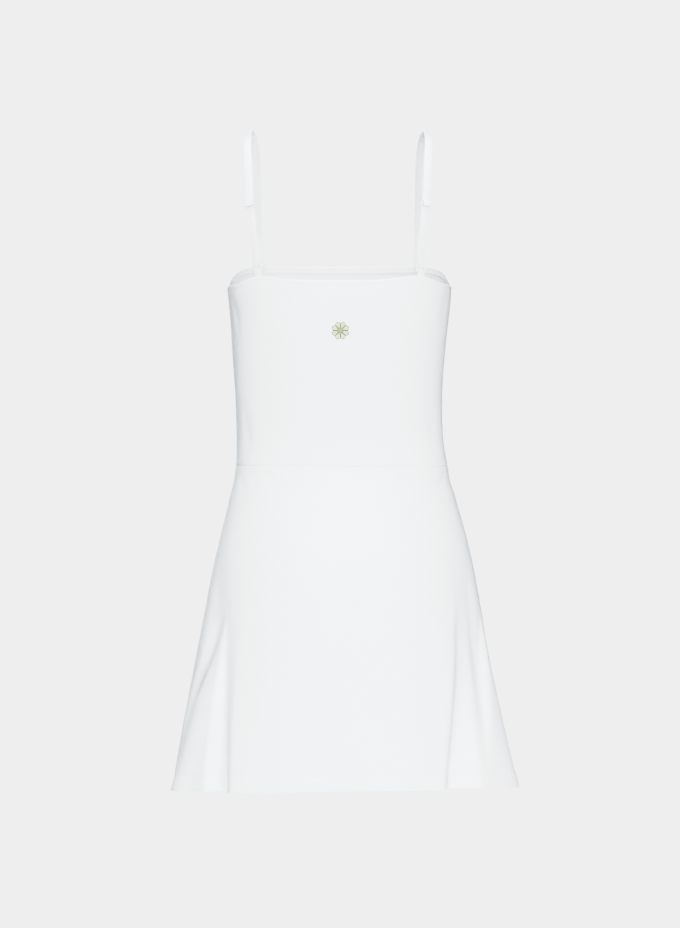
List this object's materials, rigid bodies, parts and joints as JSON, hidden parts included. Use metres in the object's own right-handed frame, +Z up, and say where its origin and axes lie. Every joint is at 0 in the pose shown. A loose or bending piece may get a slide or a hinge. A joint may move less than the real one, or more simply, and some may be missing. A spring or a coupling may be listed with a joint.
{
  "type": "sports dress",
  "caption": "White sleeveless sports dress with narrow adjustable straps, a waist seam and a flared short skirt, hollow as worn.",
  "frame": {"origin": "midway between the two strap crowns, level with their undersides, where the wearer's shoulders bear", "axes": "+Z up, -Y towards the back that the picture shows, +X to the right of that view, which is the wearer's right"},
  "size_m": [0.4365, 0.293, 0.8342],
  "materials": {
    "jersey": "matte white stretch jersey",
    "elastic": "white woven strap elastic with a slight sheen",
    "plastic": "white moulded nylon"
  },
  "bodies": {
    "root": {"bodice_back": "jersey", "bodice_front": "jersey", "skirt_back": "jersey", "skirt_front": "jersey", "strap_left": "elastic", "strap_right": "elastic", "strap_tab_left": "elastic", "strap_tab_right": "elastic", "ring_left": "plastic", "ring_right": "plastic", "slider_left": "plastic", "slider_right": "plastic"}
  },
  "joints": []
}
